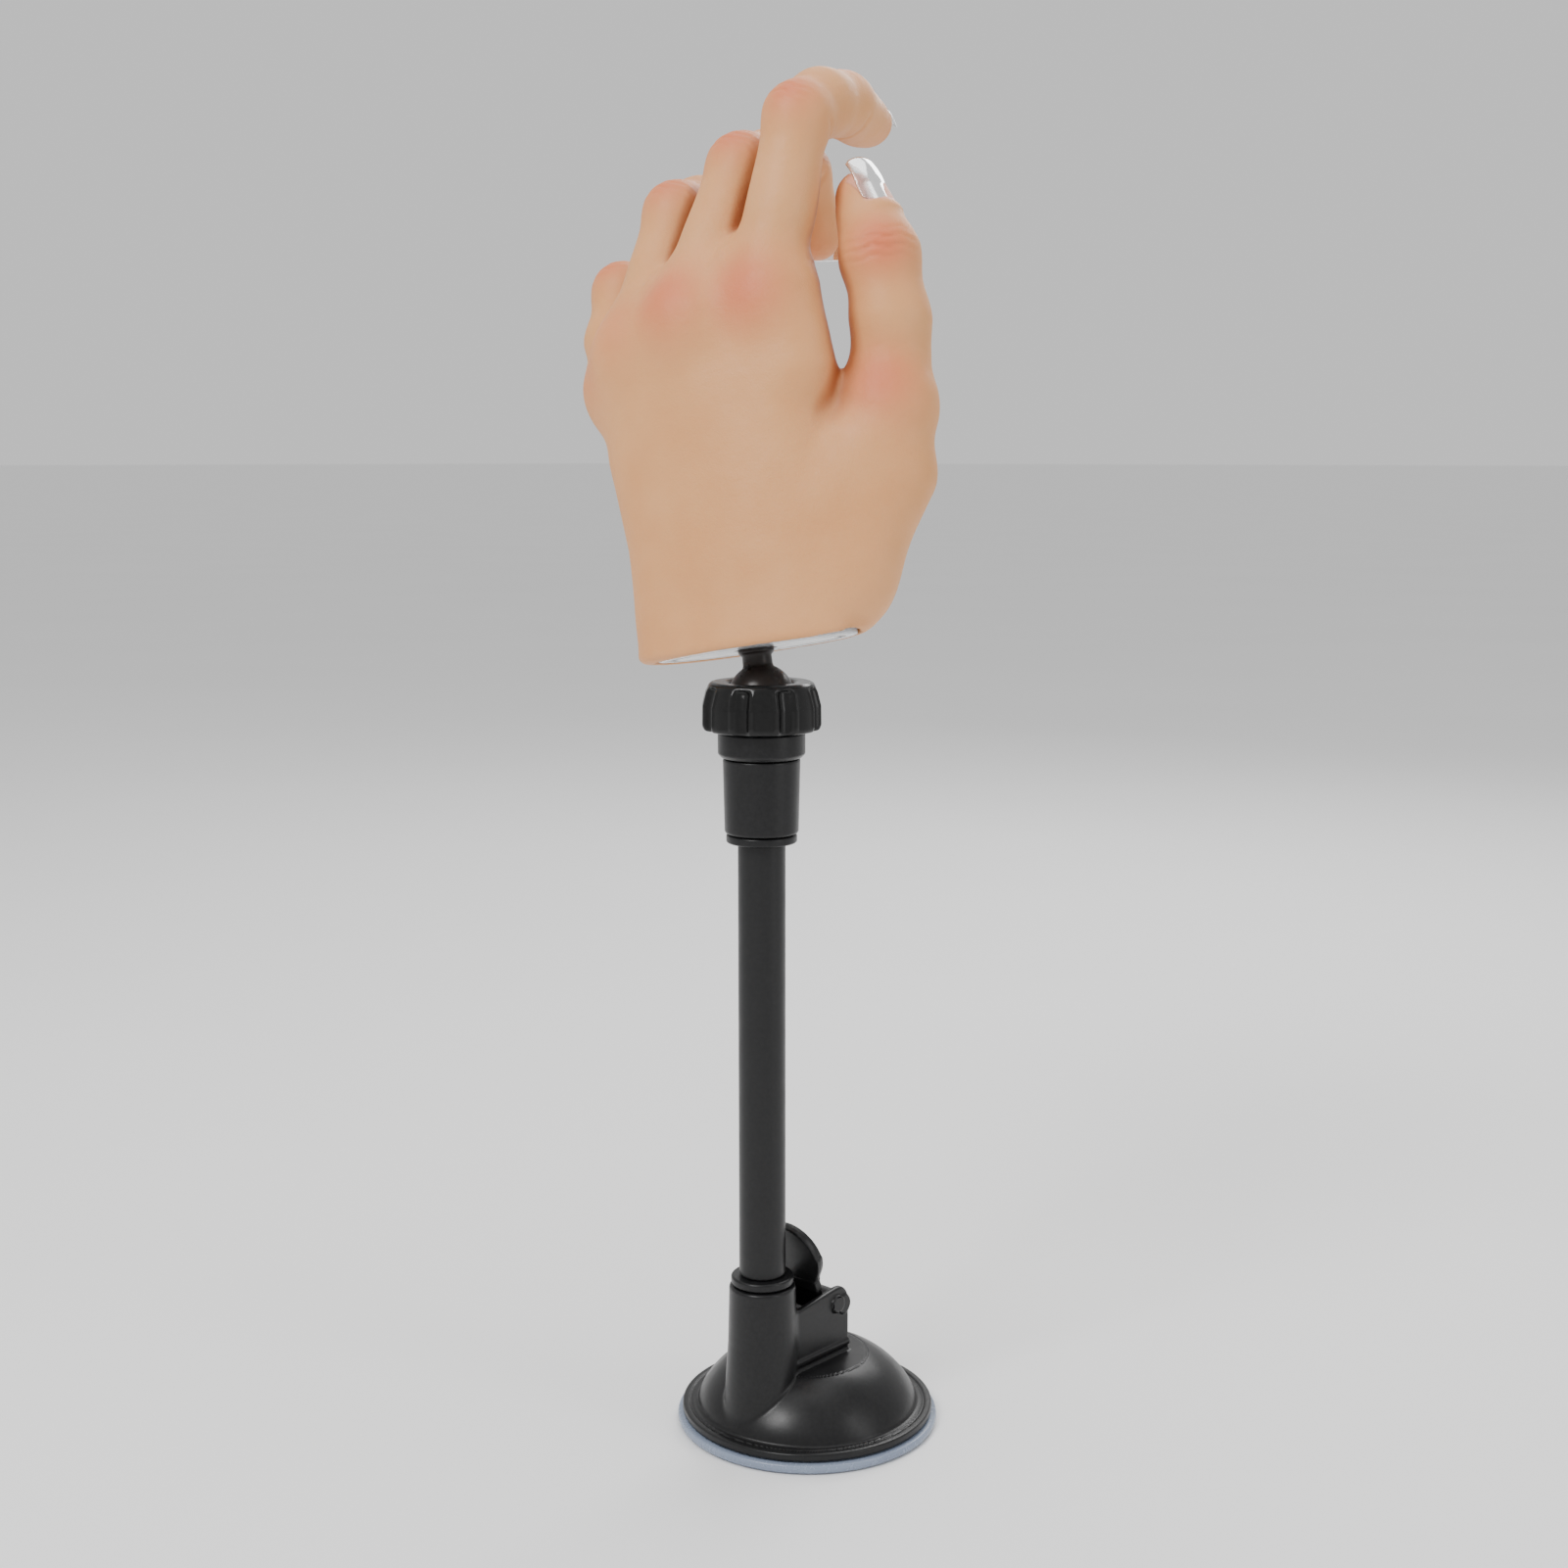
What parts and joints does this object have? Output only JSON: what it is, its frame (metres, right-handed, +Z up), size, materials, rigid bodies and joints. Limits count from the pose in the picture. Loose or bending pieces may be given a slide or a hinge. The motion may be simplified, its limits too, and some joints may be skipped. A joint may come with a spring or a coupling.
{
  "type": "poseable practice hand on suction stand",
  "caption": "Poseable silicone practice hand with clear insert nails, on a ball clamp, a bendable sheathed arm and a lever-locked suction foot.",
  "frame": {"origin": "centre of the gel pad's flat underside, on the surface that the stand is stuck to", "axes": "+Z up along the tower and arm; +X from the tower towards the lever; the back of the hand faces about -Y, turned towards +X"},
  "size_m": [0.0817, 0.1127, 0.3557],
  "materials": {
    "skin": "matte moulded silicone, warm light tan, redder over the joints",
    "stand_plastic": "satin black moulded plastic",
    "clamp_plastic": "semi-gloss black moulded plastic",
    "arm_sheath": "smooth satin black rubber sheath",
    "gel": "translucent bluish-grey tacky gel",
    "clear_plastic": "clear glossy plastic",
    "bone": "plain white moulded plastic",
    "steel": "plain steel"
  },
  "bodies": {
    "base": {"gel_pad": "gel", "base_housing": "stand_plastic", "lever_pin": "steel", "base_collar": "stand_plastic", "arm_sheath_0": "arm_sheath", "arm_core_0": "steel", "release_spring": "steel"},
    "lever": {"lever": "stand_plastic"},
    "plunger": {"plunger": "steel"},
    "arm_1": {"arm_sheath_1": "arm_sheath", "arm_core_1": "steel"},
    "arm_2": {"arm_sheath_2": "arm_sheath", "arm_core_2": "steel"},
    "arm_3": {"arm_sheath_3": "arm_sheath", "arm_core_3": "steel"},
    "head": {"arm_sheath_4": "arm_sheath", "arm_core_4": "steel", "head_ring": "stand_plastic", "head_sleeve": "stand_plastic", "head_band": "stand_plastic"},
    "nut_thread": {"thread_ring": "steel"},
    "lock_nut": {"lock_nut": "clamp_plastic"},
    "ball_seat": {"seat_liner": "stand_plastic"},
    "ball_stud": {"ball_stud": "clamp_plastic"},
    "palm": {"wrist_plate": "clear_plastic", "palm_frame": "bone", "palm_skin": "skin"},
    "index_proximal": {"index_proximal_bone": "bone", "index_proximal_skin": "skin"},
    "index_middle": {"index_middle_bone": "bone", "index_middle_skin": "skin"},
    "index_distal": {"index_distal_bone": "bone", "index_distal_skin": "skin", "index_nail": "clear_plastic"},
    "middle_proximal": {"middle_proximal_bone": "bone", "middle_proximal_skin": "skin"},
    "middle_middle": {"middle_middle_bone": "bone", "middle_middle_skin": "skin"},
    "middle_distal": {"middle_distal_bone": "bone", "middle_distal_skin": "skin", "middle_nail": "clear_plastic"},
    "ring_proximal": {"ring_proximal_bone": "bone", "ring_proximal_skin": "skin"},
    "ring_middle": {"ring_middle_bone": "bone", "ring_middle_skin": "skin"},
    "ring_distal": {"ring_distal_bone": "bone", "ring_distal_skin": "skin", "ring_nail": "clear_plastic"},
    "little_proximal": {"little_proximal_bone": "bone", "little_proximal_skin": "skin"},
    "little_middle": {"little_middle_bone": "bone", "little_middle_skin": "skin"},
    "little_distal": {"little_distal_bone": "bone", "little_distal_skin": "skin", "little_nail": "clear_plastic"},
    "thumb_proximal": {"thumb_proximal_bone": "bone", "thumb_proximal_skin": "skin"},
    "thumb_distal": {"thumb_distal_bone": "bone", "thumb_distal_skin": "skin", "thumb_nail": "clear_plastic"}
  },
  "joints": [
    {"name": "lever_swing", "type": "hinge", "parent": "base", "child": "lever", "pos_m": [0.0035, 0, 0.0324], "axis": [0, 1, 0], "range_deg": [0, 128]},
    {"name": "plunger_lift", "type": "slide", "parent": "base", "child": "plunger", "axis": [0, 0, 1], "range_m": [0, 0.003], "deforming": ["release_spring"]},
    {"name": "arm_tilt_low", "type": "hinge", "parent": "base", "child": "arm_1", "pos_m": [-0.0179, 0, 0.064], "axis": [1, 0, 0], "range_deg": [-30, 30]},
    {"name": "arm_sway_low", "type": "hinge", "parent": "arm_1", "child": "arm_2", "pos_m": [-0.0179, 0, 0.087], "axis": [0, 1, 0], "range_deg": [-30, 30]},
    {"name": "arm_tilt_high", "type": "hinge", "parent": "arm_2", "child": "arm_3", "pos_m": [-0.0179, 0, 0.11], "axis": [1, 0, 0], "range_deg": [-30, 30]},
    {"name": "arm_sway_high", "type": "hinge", "parent": "arm_3", "child": "head", "pos_m": [-0.0179, 0, 0.133], "axis": [0, 1, 0], "range_deg": [-30, 30]},
    {"name": "nut_rise", "type": "slide", "parent": "head", "child": "nut_thread", "axis": [0, 0, 1], "range_m": [0, 0.0012]},
    {"name": "nut_turn", "type": "hinge", "parent": "nut_thread", "child": "lock_nut", "pos_m": [-0.0179, 0, 0.198], "axis": [0, 0, 1], "range_deg": [0, 288]},
    {"name": "ball_swivel", "type": "hinge", "parent": "head", "child": "ball_seat", "pos_m": [-0.0179, 0, 0.198], "axis": [0, 0, 1], "continuous": true},
    {"name": "ball_tilt", "type": "hinge", "parent": "ball_seat", "child": "ball_stud", "pos_m": [-0.0179, 0, 0.198], "axis": [-0.9781, 0.2079, 0], "range_deg": [-43.2, 20.8]},
    {"name": "hand_spin", "type": "hinge", "parent": "ball_stud", "child": "palm", "pos_m": [-0.0179, 0, 0.198], "axis": [0.0404, 0.19, 0.981], "continuous": true},
    {"name": "index_knuckle_bend", "type": "hinge", "parent": "palm", "child": "index_proximal", "pos_m": [-0.01314, 0.00417, 0.2968], "axis": [-0.2357, 0.9643, 0.1208], "range_deg": [-19, 11]},
    {"name": "index_middle_bend", "type": "hinge", "parent": "index_proximal", "child": "index_middle", "pos_m": [-0.0051, 0.00035, 0.34295], "axis": [-0.2357, 0.9643, 0.1208], "range_deg": [-70, 22]},
    {"name": "index_tip_bend", "type": "hinge", "parent": "index_middle", "child": "index_distal", "pos_m": [0.01884, 0.00558, 0.34792], "axis": [-0.2357, 0.9643, 0.1208], "range_deg": [-19, 36]},
    {"name": "middle_knuckle_bend", "type": "hinge", "parent": "palm", "child": "middle_proximal", "pos_m": [-0.02177, 0.0214, 0.29249], "axis": [-0.1072, 0.994, 0.0227], "range_deg": [-34, 33]},
    {"name": "middle_middle_bend", "type": "hinge", "parent": "middle_proximal", "child": "middle_middle", "pos_m": [-0.00148, 0.02267, 0.33264], "axis": [-0.1072, 0.994, 0.0227], "range_deg": [-60, 32]},
    {"name": "middle_tip_bend", "type": "hinge", "parent": "middle_middle", "child": "middle_distal", "pos_m": [0.02631, 0.02563, 0.33419], "axis": [-0.1072, 0.994, 0.0227], "range_deg": [-71, 3]},
    {"name": "ring_knuckle_bend", "type": "hinge", "parent": "palm", "child": "ring_proximal", "pos_m": [-0.0233, 0.03765, 0.28584], "axis": [-0.1821, 0.982, -0.0497], "range_deg": [-35, 27]},
    {"name": "ring_middle_bend", "type": "hinge", "parent": "ring_proximal", "child": "ring_middle", "pos_m": [-0.00497, 0.04289, 0.32214], "axis": [-0.1821, 0.982, -0.0497], "range_deg": [-58, 32]},
    {"name": "ring_tip_bend", "type": "hinge", "parent": "ring_middle", "child": "ring_distal", "pos_m": [0.0205, 0.04772, 0.32415], "axis": [-0.1821, 0.982, -0.0497], "range_deg": [-45, 15]},
    {"name": "little_knuckle_bend", "type": "hinge", "parent": "palm", "child": "little_proximal", "pos_m": [-0.01859, 0.04941, 0.27572], "axis": [-0.2777, 0.9047, -0.323], "range_deg": [-35, 19]},
    {"name": "little_middle_bend", "type": "hinge", "parent": "little_proximal", "child": "little_middle", "pos_m": [-0.00504, 0.06313, 0.3025], "axis": [-0.2777, 0.9047, -0.323], "range_deg": [-57, 27]},
    {"name": "little_tip_bend", "type": "hinge", "parent": "little_middle", "child": "little_distal", "pos_m": [0.014, 0.06921, 0.30318], "axis": [-0.2777, 0.9047, -0.323], "range_deg": [-35, 15]},
    {"name": "thumb_knuckle_bend", "type": "hinge", "parent": "palm", "child": "thumb_proximal", "pos_m": [0.00593, -0.02258, 0.27469], "axis": [0.6404, -0.7611, 0.1032], "range_deg": [-22, 18]},
    {"name": "thumb_tip_bend", "type": "hinge", "parent": "thumb_proximal", "child": "thumb_distal", "pos_m": [0.00675, -0.01747, 0.30728], "axis": [0.6404, -0.7611, 0.1032], "range_deg": [-38, 17]}
  ],
  "couplings": [
    {"joint": "plunger_lift", "follows": "lever_swing", "m_per_rad": 0.0013429},
    {"joint": "arm_tilt_high", "follows": "arm_tilt_low", "ratio": 1},
    {"joint": "arm_sway_high", "follows": "arm_sway_low", "ratio": 1},
    {"joint": "nut_rise", "follows": "nut_turn", "m_per_rad": 0.00023873}
  ]
}
